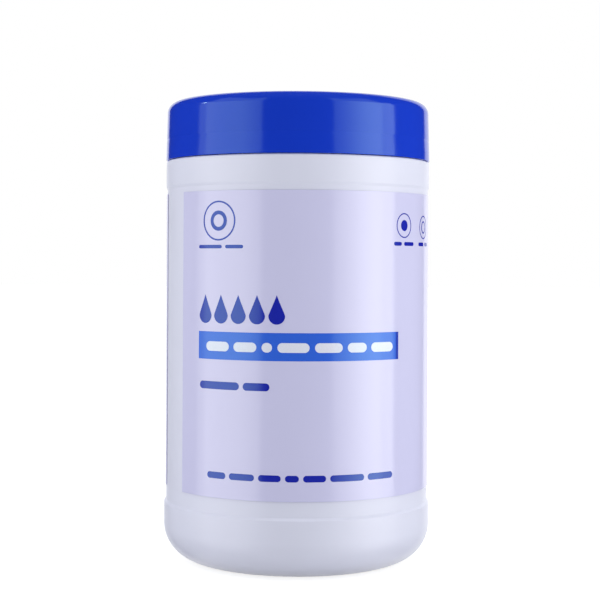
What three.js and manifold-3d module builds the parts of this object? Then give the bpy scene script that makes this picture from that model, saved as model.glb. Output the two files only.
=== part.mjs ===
// A canister of wet wipes: a blow-moulded can with a recessed label panel, a wrap label,
// a screw closure with a dispensing orifice, a flush flip lid, a foam sealing ring
// and a coreless centre-pull roll of wipes.
// Millimetres. The axis is Z, the foot stands on z = 0 and the front looks along -Y.

import * as THREE from 'three';
import { mergeVertices } from 'three/addons/utils/BufferGeometryUtils.js';
import Module from 'manifold-3d';

const wasm = await Module();
wasm.setup();

// Driving dimensions

const SEGMENTS = 60; // facets round a turned piece
const ROLL_SEGMENTS = 40; // facets round the roll
const ARC_STEPS = 5; // chords in a quarter round
const SMALL_ARC_STEPS = 3; // chords in a small round

const CAN_RADIUS = 47.5; // bumper, the widest ring below the label
const BAND_INSET = 0.3; // ring above the label, inside the bumper
const PANEL_INSET = 0.7; // wall behind the label, inside the bumper
const CAN_WALL = 1.2;
const BASE_WALL = 1.8;
const CORNER_WIDTH = 13.3; // base corner, close to a quarter circle
const CORNER_HEIGHT = 13.2;
const FOOT_WIDTH = 5.5; // flat ring that the can stands on
const PUSH_UP_HEIGHT = 3; // hollow under the base
const PUSH_UP_MID_SHARE = 0.62; // height half way down its side, as a share of the push-up's
const PUSH_UP_SLOPE = 9; // width of the push-up's sloping side
const PINCH_LENGTH = 36; // seam left by the mould across the push-up
const PINCH_WIDTH = 1.4;
const PINCH_HEIGHT = 0.6;

const BUMPER_HEIGHT = 20.7; // foot to the lower step
const STEP_RISE = 0.9; // height over which each step changes radius
const PANEL_HEIGHT = 110.3;
const BAND_HEIGHT = 9.1; // upper step to the shoulder's ledge
const SHOULDER_ROUND = 2.6;
const NECK_HEIGHT = 17.7; // ledge to the mouth
const NECK_WALL = 2;
const MOUTH_CHAMFER = 0.4;

const THREAD_PITCH = 5.08;
const THREAD_TURNS = 1.25;
const THREAD_DEPTH = 1.5;
const THREAD_ROOT_WIDTH = 2.4;
const THREAD_CREST_WIDTH = 1.1;
const THREAD_BELOW_MOUTH = 3.4; // mouth down to the middle of the thread's upper end
const THREAD_FADE = THREE.MathUtils.degToRad(24); // each end tapers off over this angle
const THREAD_STEPS_PER_TURN = 48;
const THREAD_BURY = 0.4; // how far a ridge's root reaches into its wall
const THREAD_RADIAL_CLEARANCE = 0.9; // crest to the facing wall

const LABEL_THICKNESS = 0.2;
const LABEL_CLEARANCE = 0.1;
const LABEL_LIFT = 4.8; // panel's lower end to the label's lower edge
const LABEL_TOP_GAP = 1.4; // label's upper edge to the panel's upper end
const LABEL_START = THREE.MathUtils.degToRad(-57); // from the front, towards +X
const LABEL_END = THREE.MathUtils.degToRad(282);

const SKIRT_GAP = 0.3; // ledge to the closure's lower edge
const SKIRT_WALL = 2.2; // at the lower edge, whose outside is level with the bumper
const SKIRT_DRAFT = 0.35; // loss of radius up to the fillet
const SKIRT_EDGE = 0.4; // bevels of the lower edge
const TOP_FILLET = 3.4;
const DECK_WALL = 1.6;
const SEAL_CLEARANCE = 0.2; // sealing ring to the deck
const SEAL_THICKNESS = 1.6;
const SEAL_SIDE_CLEARANCE = 0.3;

const DECK_RIM = 16.1; // bumper's radius in to the round recess that holds the lid
const RECESS_DEPTH = 4.2;
const RECESS_EDGE = 0.5;
const COLLAR_RADIUS = 8.6; // raised ring round the orifice
const COLLAR_WALL = 1.4;
const COLLAR_HEIGHT = 1.4;
const MEMBRANE_WALL = 0.8; // thin petals that grip the wipe
const ORIFICE_RADIUS = 4.2;
const ORIFICE_SLITS = 4;
const SLIT_WIDTH = 1;
const SLIT_REACH = 6.6; // from the axis

const LID_WALL = 1.8;
const LID_SINK = 0.2; // deck's top down to the lid's top
const LID_SIDE_CLEARANCE = 0.6;
const LID_RIM_WALL = 1.4;
const LID_FLOOR_CLEARANCE = 0.4; // lid's rim to the recess's floor
const LID_EDGE = 0.4;
const PLUG_CLEARANCE = 0.4; // lid's plug ring to the collar
const PLUG_WALL = 1.1;
const LIP_WIDTH = 16; // finger lip at the front
const LIP_REACH = 3.4; // past the lid's rim
const LIP_CORNER = 2;

const SCOOP_WIDTH = 20; // finger scoop in the deck, in front of the lip
const SCOOP_REACH = 6; // past the recess
const SCOOP_FLOOR_DROP = 1.2; // lid's underside to the scoop's floor
const SCOOP_SLOPE = 3; // length of the sloping front of the floor

const HINGE_SETBACK = 1.6; // recess to the pivot behind it
const HINGE_BELOW_TOP = 2.2; // deck's top to the pivot
const BARREL_RADIUS = 1.5;
const BARREL_LENGTH = 19.2;
const PIN_RADIUS = 1;
const PIN_LENGTH = 1.6; // each pin, past the barrel
const PIN_CLEARANCE = 0.25;
const HINGE_END_CLEARANCE = 0.4;
const HINGE_BACK_ROOM = 3.6; // pivot to the pocket's back wall, where the open lid leans
const HINGE_CHEEK = 2.4; // wall that holds a pin
const PIN_FACETS = 24;

const ROLL_CLEARANCE = 0.9; // roll to the mouth that it was put in through
const ROLL_SEAT_CLEARANCE = 0.2;
const ROLL_HEIGHT = 136.5;
const ROLL_CORNER = 4;
const ROLL_CORE_RADIUS = 12;
const TURN_PITCH = 3.4; // spacing of the turns that show on the roll's ends
const TURN_WIDTH = 2;
const TURN_HEIGHT = 0.8;
const TURN_STEPS = 30; // chords in each turn

const OVERSHOOT = 1; // how far a cutting or joining body runs past a face

// Heights and radii that follow from them

const zPanelLow = BUMPER_HEIGHT + STEP_RISE;
const zPanelHigh = zPanelLow + PANEL_HEIGHT;
const zBandLow = zPanelHigh + STEP_RISE;
const zLedge = zBandLow + BAND_HEIGHT;
const zMouth = zLedge + NECK_HEIGHT;
const zDeckUnder = zMouth + SEAL_THICKNESS + SEAL_CLEARANCE;
const zTop = zDeckUnder + DECK_WALL;
const zSkirt = zLedge + SKIRT_GAP;
const zRecess = zTop - RECESS_DEPTH;
const zDishUnder = zRecess - DECK_WALL;
const zLidTop = zTop - LID_SINK;
const zLidUnder = zLidTop - LID_WALL;
const zScoop = zLidUnder - SCOOP_FLOOR_DROP;
const zHinge = zTop - HINGE_BELOW_TOP;
const bandRadius = CAN_RADIUS - BAND_INSET;
const panelRadius = CAN_RADIUS - PANEL_INSET;
const skirtInnerRadius = CAN_RADIUS - SKIRT_WALL;
const neckRadius = skirtInnerRadius - THREAD_RADIAL_CLEARANCE - THREAD_DEPTH;
const mouthRadius = neckRadius - NECK_WALL;
const footOuterRadius = CAN_RADIUS - CORNER_WIDTH;
const footInnerRadius = footOuterRadius - FOOT_WIDTH;
const crownRadius = footInnerRadius - PUSH_UP_SLOPE;
const recessRadius = CAN_RADIUS - DECK_RIM;
const yHinge = recessRadius + HINGE_SETBACK;
const collarInnerRadius = COLLAR_RADIUS - COLLAR_WALL;
const lidRadius = recessRadius - LID_SIDE_CLEARANCE;
const pocketHalfWidth = BARREL_LENGTH / 2 + HINGE_END_CLEARANCE;
const rollRadius = mouthRadius - ROLL_CLEARANCE;
const zRoll = PUSH_UP_HEIGHT + BASE_WALL + ROLL_SEAT_CLEARANCE;

// Points of an elliptical arc in the (radius, height) plane, angles in degrees
function arc(centreR, centreZ, width, height, from, to, steps) {
  const points = [];
  for (let i = 0; i <= steps; i += 1) {
    const angle = THREE.MathUtils.degToRad(from + ((to - from) * i) / steps);
    points.push([centreR + width * Math.cos(angle), centreZ + height * Math.sin(angle)]);
  }
  return points;
}

// A closed (radius, height) outline, counter-clockwise, turned round the Z axis
function turned(outline, segments = SEGMENTS) {
  const points = outline.map(([r, z]) => new THREE.Vector2(r, z));
  points.push(points[0].clone());
  const geometry = new THREE.LatheGeometry(points, segments);
  return geometry.rotateX(Math.PI / 2);
}

// A body through a row of closed sections that have the same number of points
function lofted(sections) {
  const count = sections[0].length;
  const last = sections.length - 1;
  const positions = sections.flat(2);
  const indices = [];
  for (let s = 0; s < last; s += 1) {
    for (let i = 0; i < count; i += 1) {
      const a = s * count + i;
      const b = s * count + ((i + 1) % count);
      indices.push(a, b, a + count, b, b + count, a + count);
    }
  }
  for (let i = 1; i < count - 1; i += 1) {
    indices.push(0, i + 1, i);
    indices.push(last * count, last * count + i, last * count + i + 1);
  }
  const geometry = new THREE.BufferGeometry();
  geometry.setAttribute('position', new THREE.Float32BufferAttribute(positions, 3));
  geometry.setIndex(indices);
  return geometry;
}

// A box from its lowest to its highest corner
function block(low, high) {
  const size = high.map((value, i) => value - low[i]);
  const geometry = new THREE.BoxGeometry(...size);
  return geometry.translate(...low.map((value, i) => value + size[i] / 2));
}

// A round bar along X, centred on x
function bar(radius, length, x, y, z) {
  const geometry = new THREE.CylinderGeometry(radius, radius, length, PIN_FACETS);
  return geometry.rotateZ(Math.PI / 2).translate(x, y, z);
}

// A (y, z) outline drawn along X over the given width, centred on x = 0
function drawnAlongX(outline, width) {
  const shape = new THREE.Shape(outline.map(([y, z]) => new THREE.Vector2(y, z)));
  const geometry = new THREE.ExtrudeGeometry(shape, { depth: width, bevelEnabled: false });
  geometry.translate(0, 0, -width / 2);
  const swap = new THREE.Matrix4().set(0, 0, 1, 0, 1, 0, 0, 0, 0, 1, 0, 0, 0, 0, 0, 1);
  return geometry.applyMatrix4(swap);
}

// The closed body of a geometry, ready to join and cut
function solid(geometry) {
  geometry.deleteAttribute('normal');
  geometry.deleteAttribute('uv');
  const merged = mergeVertices(geometry);
  const index = merged.index.array;
  const kept = [];
  for (let i = 0; i < index.length; i += 3) {
    const [a, b, c] = index.slice(i, i + 3);
    if (a !== b && b !== c && c !== a) {
      kept.push(a, b, c);
    }
  }
  const vertProperties = new Float32Array(merged.attributes.position.array);
  const triVerts = new Uint32Array(kept);
  return new wasm.Manifold(new wasm.Mesh({ numProp: 3, vertProperties, triVerts }));
}

function joined(base, ...others) {
  return others.reduce((body, other) => body.add(solid(other)), base);
}

function cut(base, ...others) {
  return others.reduce((body, other) => body.subtract(solid(other)), base);
}

// The named piece that a finished body becomes
function piece(name, body, colour, roughness) {
  const { vertProperties, triVerts } = body.getMesh();
  const geometry = new THREE.BufferGeometry();
  geometry.setAttribute('position', new THREE.BufferAttribute(vertProperties, 3));
  geometry.setIndex(new THREE.BufferAttribute(triVerts, 1));
  geometry.computeVertexNormals();
  const material = new THREE.MeshStandardMaterial({ color: colour, roughness, metalness: 0 });
  const mesh = new THREE.Mesh(geometry, material);
  mesh.name = name;
  return mesh;
}

// A right-hand thread ridge. side is 1 on an outer wall and -1 on an inner one,
// and zStart is the height of the middle of its lower end.
function threadRidge(wallRadius, side, zStart) {
  const steps = Math.round(THREAD_TURNS * THREAD_STEPS_PER_TURN);
  const sweep = THREAD_TURNS * 2 * Math.PI;
  const sections = [];
  for (let i = 0; i <= steps; i += 1) {
    const angle = (sweep * i) / steps;
    const z = zStart + (THREAD_PITCH * angle) / (2 * Math.PI);
    const height = Math.min(1, angle / THREAD_FADE, (sweep - angle) / THREAD_FADE);
    const crest = wallRadius + side * (THREAD_DEPTH * height - THREAD_BURY * (1 - height) / 2);
    const root = wallRadius - side * THREAD_BURY;
    const outline = [
      [root, z - THREAD_ROOT_WIDTH / 2],
      [crest, z - THREAD_CREST_WIDTH / 2],
      [crest, z + THREAD_CREST_WIDTH / 2],
      [root, z + THREAD_ROOT_WIDTH / 2],
    ];
    if (side < 0) {
      outline.reverse();
    }
    sections.push(outline.map(([r, h]) => [r * Math.cos(angle), r * Math.sin(angle), h]));
  }
  return lofted(sections.reverse());
}

const zThread = zMouth - THREAD_BELOW_MOUTH - THREAD_PITCH * THREAD_TURNS;

function canister() {
  const innerPanel = panelRadius - CAN_WALL;
  const innerBumper = CAN_RADIUS - CAN_WALL;
  const innerBand = bandRadius - CAN_WALL;
  const shoulderFlat = bandRadius - SHOULDER_ROUND;
  const zShoulder = zLedge - SHOULDER_ROUND;
  const innerCorner = CORNER_WIDTH - CAN_WALL;
  const innerCornerHeight = CORNER_HEIGHT - BASE_WALL;
  const zPushUp = PUSH_UP_HEIGHT;
  const shoulderUnder = zLedge - CAN_WALL;
  const innerRound = SHOULDER_ROUND - CAN_WALL / 2;
  const innerFlat = innerBand - innerRound;
  const zInner = shoulderUnder - innerRound;
  const outline = [
    [0, zPushUp],
    [crownRadius, zPushUp],
    [(crownRadius + footInnerRadius) / 2, zPushUp * PUSH_UP_MID_SHARE],
    [footInnerRadius, 0],
    ...arc(footOuterRadius, CORNER_HEIGHT, CORNER_WIDTH, CORNER_HEIGHT, -90, 0, ARC_STEPS + 2),
    [CAN_RADIUS, BUMPER_HEIGHT],
    [panelRadius, zPanelLow],
    [panelRadius, zPanelHigh],
    [bandRadius, zBandLow],
    ...arc(shoulderFlat, zShoulder, SHOULDER_ROUND, SHOULDER_ROUND, 0, 90, SMALL_ARC_STEPS),
    [neckRadius, zLedge],
    [neckRadius, zMouth - MOUTH_CHAMFER],
    [neckRadius - MOUTH_CHAMFER, zMouth],
    [mouthRadius + MOUTH_CHAMFER, zMouth],
    [mouthRadius, zMouth - MOUTH_CHAMFER],
    [mouthRadius, shoulderUnder],
    ...arc(innerFlat, zInner, innerRound, innerRound, 90, 0, SMALL_ARC_STEPS),
    [innerBand, zBandLow],
    [innerPanel, zPanelHigh],
    [innerPanel, zPanelLow],
    [innerBumper, BUMPER_HEIGHT],
    ...arc(footOuterRadius, CORNER_HEIGHT, innerCorner, innerCornerHeight, 0, -90, ARC_STEPS),
    [footInnerRadius, BASE_WALL],
    [crownRadius, zPushUp + BASE_WALL],
    [0, zPushUp + BASE_WALL],
  ];
  const pinch = block(
    [-PINCH_LENGTH / 2, -PINCH_WIDTH / 2, zPushUp - PINCH_HEIGHT],
    [PINCH_LENGTH / 2, PINCH_WIDTH / 2, zPushUp + BASE_WALL / 2],
  );
  const body = joined(solid(turned(outline)), pinch, threadRidge(neckRadius, 1, zThread));
  return piece('canister', body, 0xdcdceb, 0.35);
}

function label() {
  const inner = panelRadius + LABEL_CLEARANCE;
  const outer = inner + LABEL_THICKNESS;
  const low = zPanelLow + LABEL_LIFT;
  const high = zPanelHigh - LABEL_TOP_GAP;
  const steps = Math.round((SEGMENTS * (LABEL_END - LABEL_START)) / (2 * Math.PI));
  const sections = [];
  for (let i = 0; i <= steps; i += 1) {
    const angle = LABEL_START + ((LABEL_END - LABEL_START) * i) / steps;
    const outline = [
      [inner, low],
      [outer, low],
      [outer, high],
      [inner, high],
    ];
    sections.push(outline.map(([r, z]) => [r * Math.sin(angle), -r * Math.cos(angle), z]));
  }
  return piece('label', solid(lofted(sections.reverse())), 0xc9c8ea, 0.2);
}

// How far from the axis a pocket of this half width starts, to open into the round recess
function recessChord(halfWidth) {
  return Math.sqrt(recessRadius ** 2 - halfWidth ** 2) - OVERSHOOT;
}

// The box-shaped walls behind the lid that hold its pins
function hingeHousing() {
  const half = pocketHalfWidth + HINGE_CHEEK;
  return block(
    [-half, recessChord(half), zDishUnder],
    [half, yHinge + HINGE_BACK_ROOM + DECK_WALL, zTop - DECK_WALL / 2],
  );
}

function hingePocket() {
  return block(
    [-pocketHalfWidth, recessChord(pocketHalfWidth), zRecess],
    [pocketHalfWidth, yHinge + HINGE_BACK_ROOM, zTop + OVERSHOOT],
  );
}

// The scoop's floor is level under the lip and then slopes up to the deck
function scoopOutline(grow, top) {
  const back = -recessChord(SCOOP_WIDTH / 2);
  const front = -recessRadius - SCOOP_REACH - grow;
  return [
    [back, zScoop - grow],
    [front + SCOOP_SLOPE, zScoop - grow],
    [front, top],
    [back, top],
  ];
}

function orificeCuts() {
  const cuts = [];
  const low = zDishUnder - OVERSHOOT;
  const high = zRecess + OVERSHOOT;
  const hole = new THREE.CylinderGeometry(ORIFICE_RADIUS, ORIFICE_RADIUS, high - low, PIN_FACETS);
  cuts.push(hole.rotateX(Math.PI / 2).translate(0, 0, (low + high) / 2));
  for (let i = 0; i < ORIFICE_SLITS; i += 1) {
    const slit = block([0, -SLIT_WIDTH / 2, low], [SLIT_REACH, SLIT_WIDTH / 2, high]);
    cuts.push(slit.rotateZ(((i + 0.5) * 2 * Math.PI) / ORIFICE_SLITS));
  }
  return cuts;
}

// The round hollow for the lid, with a bevelled edge
function recess() {
  return turned([
    [0, zRecess],
    [recessRadius, zRecess],
    [recessRadius, zTop - RECESS_EDGE],
    [recessRadius + RECESS_EDGE + OVERSHOOT, zTop + OVERSHOOT],
    [0, zTop + OVERSHOOT],
  ]);
}

// The hollow under the orifice that leaves the petals thin
function petalRelief() {
  return turned([
    [0, zDishUnder - OVERSHOOT],
    [collarInnerRadius, zDishUnder - OVERSHOOT],
    [collarInnerRadius, zRecess - MEMBRANE_WALL],
    [0, zRecess - MEMBRANE_WALL],
  ]);
}

function collar() {
  return turned([
    [collarInnerRadius, zRecess - DECK_WALL / 2],
    [COLLAR_RADIUS, zRecess - DECK_WALL / 2],
    [COLLAR_RADIUS, zRecess + COLLAR_HEIGHT],
    [collarInnerRadius, zRecess + COLLAR_HEIGHT],
  ]);
}

function closure() {
  const skirtTop = zTop - TOP_FILLET;
  const skirtTopRadius = CAN_RADIUS - SKIRT_DRAFT;
  const filletCentre = skirtTopRadius - TOP_FILLET;
  const outline = [
    [0, zDishUnder],
    [recessRadius + DECK_WALL, zDishUnder],
    [recessRadius + DECK_WALL, zDeckUnder],
    [skirtInnerRadius, zDeckUnder],
    [skirtInnerRadius, zSkirt + SKIRT_EDGE],
    [skirtInnerRadius + SKIRT_EDGE, zSkirt],
    [CAN_RADIUS - SKIRT_EDGE, zSkirt],
    [CAN_RADIUS, zSkirt + SKIRT_EDGE],
    ...arc(filletCentre, skirtTop, TOP_FILLET, TOP_FILLET, 0, 90, ARC_STEPS),
    [0, zTop],
  ];
  const half = DECK_WALL / 2;
  const underScoop = drawnAlongX(scoopOutline(half, zTop - half), SCOOP_WIDTH + DECK_WALL);
  const scoop = drawnAlongX(scoopOutline(0, zTop + OVERSHOOT), SCOOP_WIDTH);
  const boreLength = BARREL_LENGTH + 2 * (PIN_LENGTH + HINGE_END_CLEARANCE);
  const bore = bar(PIN_RADIUS + PIN_CLEARANCE, boreLength, 0, yHinge, zHinge);
  const ridge = threadRidge(skirtInnerRadius, -1, zThread - THREAD_PITCH / 2);
  const shell = joined(solid(turned(outline)), hingeHousing(), underScoop, ridge);
  const deck = cut(shell, recess(), hingePocket(), scoop, bore, petalRelief());
  const body = cut(joined(deck, collar()), ...orificeCuts());
  return piece('closure', body, 0x1336b4, 0.2);
}

function flipLid() {
  const plugInner = COLLAR_RADIUS + PLUG_CLEARANCE;
  const plugOuter = plugInner + PLUG_WALL;
  const rimInner = lidRadius - LID_RIM_WALL;
  const zRim = zRecess + LID_FLOOR_CLEARANCE;
  const outline = [
    [0, zLidUnder],
    [plugInner, zLidUnder],
    [plugInner, zRim],
    [plugOuter, zRim],
    [plugOuter, zLidUnder],
    [rimInner, zLidUnder],
    [rimInner, zRim],
    [lidRadius, zRim],
    [lidRadius, zLidTop - LID_EDGE],
    [lidRadius - LID_EDGE, zLidTop],
    [0, zLidTop],
  ];
  const lip = lipGeometry();
  const half = BARREL_LENGTH / 2;
  const arm = block([-half, rimInner - LID_RIM_WALL, zLidUnder], [half, yHinge, zLidTop]);
  const barrel = bar(BARREL_RADIUS, BARREL_LENGTH, 0, yHinge, zHinge);
  const pins = bar(PIN_RADIUS, BARREL_LENGTH + 2 * PIN_LENGTH, 0, yHinge, zHinge);
  const body = joined(solid(turned(outline)), lip, arm, barrel, pins);
  return piece('flip_lid', body, 0x1a41bd, 0.22);
}

// A tongue with round front corners, level with the lid's plate
function lipGeometry() {
  const front = -lidRadius - LIP_REACH;
  const back = -lidRadius + LID_RIM_WALL;
  const half = LIP_WIDTH / 2;
  const shape = new THREE.Shape();
  shape.moveTo(-half, back);
  shape.lineTo(-half, front + LIP_CORNER);
  shape.absarc(-half + LIP_CORNER, front + LIP_CORNER, LIP_CORNER, Math.PI, 1.5 * Math.PI, false);
  shape.absarc(half - LIP_CORNER, front + LIP_CORNER, LIP_CORNER, 1.5 * Math.PI, 2 * Math.PI, false);
  shape.lineTo(half, back);
  const options = { depth: LID_WALL, bevelEnabled: false, curveSegments: SMALL_ARC_STEPS };
  return new THREE.ExtrudeGeometry(shape, options).translate(0, 0, zLidUnder);
}

function sealingRing() {
  const inner = mouthRadius + SEAL_SIDE_CLEARANCE;
  const outer = skirtInnerRadius - SEAL_SIDE_CLEARANCE;
  const outline = [
    [inner, zMouth],
    [outer, zMouth],
    [outer, zMouth + SEAL_THICKNESS],
    [inner, zMouth + SEAL_THICKNESS],
  ];
  return piece('sealing_ring', solid(turned(outline)), 0xf0f0f0, 0.8);
}

// The edge of the wound sheet, standing a little proud of an end of the roll
function turnRidge(zLow, zHigh) {
  const outer = rollRadius - ROLL_CORNER - TURN_WIDTH / 2;
  const turns = Math.floor((outer - ROLL_CORE_RADIUS - TURN_WIDTH / 2) / TURN_PITCH);
  const steps = turns * TURN_STEPS;
  const sections = [];
  for (let i = 0; i <= steps; i += 1) {
    const angle = (2 * Math.PI * i) / TURN_STEPS;
    const middle = outer - (TURN_PITCH * angle) / (2 * Math.PI);
    const outline = [
      [middle - TURN_WIDTH / 2, zLow],
      [middle + TURN_WIDTH / 2, zLow],
      [middle + TURN_WIDTH / 2, zHigh],
      [middle - TURN_WIDTH / 2, zHigh],
    ];
    sections.push(outline.map(([r, z]) => [r * Math.cos(angle), r * Math.sin(angle), z]));
  }
  return lofted(sections.reverse());
}

function wipesRoll() {
  const zHigh = zRoll + ROLL_HEIGHT;
  const flat = rollRadius - ROLL_CORNER;
  const outline = [
    [ROLL_CORE_RADIUS, zRoll],
    ...arc(flat, zRoll + ROLL_CORNER, ROLL_CORNER, ROLL_CORNER, -90, 0, SMALL_ARC_STEPS),
    ...arc(flat, zHigh - ROLL_CORNER, ROLL_CORNER, ROLL_CORNER, 0, 90, SMALL_ARC_STEPS),
    [ROLL_CORE_RADIUS, zHigh],
  ];
  const ridge = turnRidge(zHigh - OVERSHOOT, zHigh + TURN_HEIGHT);
  const body = joined(solid(turned(outline, ROLL_SEGMENTS)), ridge);
  return piece('wipes_roll', body, 0xf4f4f2, 0.9);
}

const pack = new THREE.Group();
pack.add(canister(), label(), closure(), flipLid(), sealingRing(), wipesRoll());

export default pack;
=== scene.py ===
"""Looks of a canister of wet wipes: a white blown can, a lilac wrap label with plain printed
shapes, a blue screw closure with a flush flip lid, a foam seal and the roll of wipes.
Metres, Z up, the front of the label faces -Y."""

import math

import bpy
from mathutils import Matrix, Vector


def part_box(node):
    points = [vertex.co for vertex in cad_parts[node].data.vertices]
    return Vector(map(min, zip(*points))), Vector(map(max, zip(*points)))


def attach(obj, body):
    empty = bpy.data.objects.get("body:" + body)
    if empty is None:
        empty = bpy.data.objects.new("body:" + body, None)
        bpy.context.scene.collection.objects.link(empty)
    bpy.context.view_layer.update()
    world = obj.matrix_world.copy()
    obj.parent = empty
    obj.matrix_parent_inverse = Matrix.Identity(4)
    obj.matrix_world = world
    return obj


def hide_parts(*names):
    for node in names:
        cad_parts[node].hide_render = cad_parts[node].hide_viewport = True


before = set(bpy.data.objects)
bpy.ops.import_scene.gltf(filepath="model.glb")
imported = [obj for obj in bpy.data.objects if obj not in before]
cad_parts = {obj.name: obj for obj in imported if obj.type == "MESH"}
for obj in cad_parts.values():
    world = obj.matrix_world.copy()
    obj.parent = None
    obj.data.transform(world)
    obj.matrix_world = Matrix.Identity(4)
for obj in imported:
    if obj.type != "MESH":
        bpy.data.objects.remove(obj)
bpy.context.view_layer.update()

MM = 0.001  # everything here is in metres

# Places read from the frame
_, CAN_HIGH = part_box("canister")
LABEL_LOW, LABEL_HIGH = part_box("label")
CAP_LOW, CAP_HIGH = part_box("closure")
LID_LOW, LID_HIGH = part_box("flip_lid")

# Fineness of the visible meshes
TURNS_FINE = 240
ARC_STEP = math.radians(9)
SHARP_ANGLE = math.radians(32)
# Steps of an arc, and sides of a round shape
CORNER_STEPS = 40
INNER_CORNER_STEPS = 24
CAP_EDGE_STEPS = 16
LIP_STEPS = 8
BAR_SIDES = 48
COLLAR_SIDES = 96
ORIFICE_SIDES = 64
RING_SIDES = 72
DROP_STEPS = 24
LABEL_STEPS = 340

# The can. Its sizes are the solid's, apart from the finer ledge and shoulder that show.
CAN_RADIUS = CAN_HIGH.x
BAND_RADIUS = CAN_RADIUS - 0.3 * MM
PANEL_RADIUS = CAN_RADIUS - 0.7 * MM
CAN_WALL = 1.2 * MM
BASE_WALL = 1.8 * MM
CORNER_WIDTH = 13.3 * MM
CORNER_HEIGHT = 13.2 * MM
FOOT_WIDTH = 5.5 * MM
PUSH_UP = 3 * MM
PUSH_UP_SLOPE = 9 * MM
PINCH_LENGTH = 36 * MM
PINCH_WIDTH = 1.4 * MM
PINCH_HEIGHT = 0.6 * MM
BUMPER_HEIGHT = 20.7 * MM
STEP_RISE = 0.9 * MM
PANEL_HEIGHT = 110.3 * MM
BAND_HEIGHT = 9.1 * MM
SHOULDER_ROUND = 2.6 * MM
NECK_WALL = 2 * MM
PANEL_Z = BUMPER_HEIGHT + STEP_RISE
BAND_Z = PANEL_Z + PANEL_HEIGHT + STEP_RISE
LEDGE_Z = BAND_Z + BAND_HEIGHT
MOUTH_Z = CAN_HIGH.z
SEEN_LEDGE_Z = CAP_LOW.z - 0.12 * MM
SEEN_SHOULDER_ROUND = 0.9 * MM
FOOT_RADIUS = CAN_RADIUS - CORNER_WIDTH
CROWN_ROUND = 12 * MM
INNER_CROWN_ROUND = 10 * MM
FOOT_ROUND = 3 * MM
STEP_CREST_ROUND = 0.5 * MM
STEP_ROOT_ROUND = 0.4 * MM
LEDGE_INNER_ROUND = 1 * MM
NECK_ROOT_ROUND = 0.6 * MM
MOUTH_ROUND = 0.4 * MM

# The thread, the same helix on the neck and inside the closure
PITCH = 5.08 * MM
THREAD_TURNS = 1.25
THREAD_DEPTH = 1.5 * MM
THREAD_ROOT = 2.4 * MM
THREAD_CREST = 1.1 * MM
THREAD_TOP = 3.4 * MM
THREAD_FADE = math.radians(24)
THREAD_STEP = math.radians(3)
THREAD_BURY = 0.4 * MM
THREAD_CLEARANCE = 0.9 * MM
SKIRT_WALL = 2.2 * MM
SKIRT_INNER = CAN_RADIUS - SKIRT_WALL
NECK_RADIUS = SKIRT_INNER - THREAD_CLEARANCE - THREAD_DEPTH
MOUTH_RADIUS = NECK_RADIUS - NECK_WALL
THREAD_Z = MOUTH_Z - THREAD_TOP - PITCH * THREAD_TURNS

# The closure and its lid
SEEN_CAP_RADIUS = CAN_RADIUS - 0.2 * MM
SKIRT_DRAFT = 0.4 * MM
TOP_FILLET = 3.9 * MM
INNER_ROUND = 0.8 * MM
DECK_ROOT_ROUND = 0.5 * MM
SKIRT_INNER_EDGE = 0.4 * MM
SKIRT_OUTER_EDGE = 0.2 * MM
DECK_WALL = 1.6 * MM
DECK_Z = CAP_HIGH.z
RECESS_RADIUS = CAN_RADIUS - 16.1 * MM
RECESS_Z = DECK_Z - 4.2 * MM
DISH_Z = RECESS_Z - DECK_WALL
RECESS_FLOOR_ROUND = 0.4 * MM
RECESS_CHAMFER = 0.5 * MM
RECESS_RIM_ROUND = 0.3 * MM
COLLAR_RADIUS = 8.6 * MM
COLLAR_WALL = 1.4 * MM
COLLAR_HEIGHT = 1.4 * MM
COLLAR_ROUND = 0.4 * MM
MEMBRANE_WALL = 0.8 * MM
ORIFICE_RADIUS = 4.2 * MM
SLITS = 4
SLIT_WIDTH = 1 * MM
SLIT_REACH = 6.6 * MM
LID_WALL = 1.8 * MM
LID_RADIUS = LID_HIGH.x
LID_TOP = LID_HIGH.z
LID_UNDER = LID_TOP - LID_WALL
LID_RIM_Z = LID_LOW.z
LID_RIM_WALL = 1.4 * MM
LID_ROUND = 0.3 * MM
LID_TOP_ROUND = 0.5 * MM
PLUG_CLEARANCE = 0.4 * MM
PLUG_WALL = 1.1 * MM
LIP_WIDTH = 16 * MM
LIP_CORNER = 2 * MM
SCOOP_WIDTH = 20 * MM
SCOOP_REACH = 6 * MM
SCOOP_SLOPE = 3 * MM
SCOOP_Z = LID_UNDER - 1.2 * MM
HINGE_Y = RECESS_RADIUS + 1.6 * MM
HINGE_Z = DECK_Z - 2.2 * MM
BARREL_RADIUS = 1.5 * MM
BARREL_LENGTH = 19.2 * MM
PIN_RADIUS = 1 * MM
PIN_LENGTH = 1.6 * MM
PIN_CLEARANCE = 0.25 * MM
HINGE_END = 0.4 * MM
HINGE_ROOM = 3.6 * MM
HINGE_CHEEK = 2.4 * MM
SINK_LINE_Z = CAP_LOW.z + 7.3 * MM
SINK_DEPTH = 0.08 * MM
SINK_HALF_WIDTH = 0.6 * MM
# How far a cutting shape reaches past the face that it opens
OVER = 1 * MM

# The label. Angles run from the front towards +X.
LABEL_RADIUS = PANEL_RADIUS + 0.3 * MM
LABEL_TOP = LABEL_HIGH.z - 0.5 * MM
LABEL_FOOT = LABEL_LOW.z + 0.6 * MM
LABEL_THICKNESS = 0.2 * MM
LABEL_START = math.radians(-56.3)
LABEL_END = math.radians(282)
# Ink: its layer, its least height in a point, and how its shapes are cut into columns
INK = 0.03 * MM
INK_LEAST = 0.002 * MM
COLUMN = 0.35 * MM
DISC_HOLE = 0.02 * MM
DROP_POINT = 0.8
DROP_WAIST = 0.25

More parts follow.
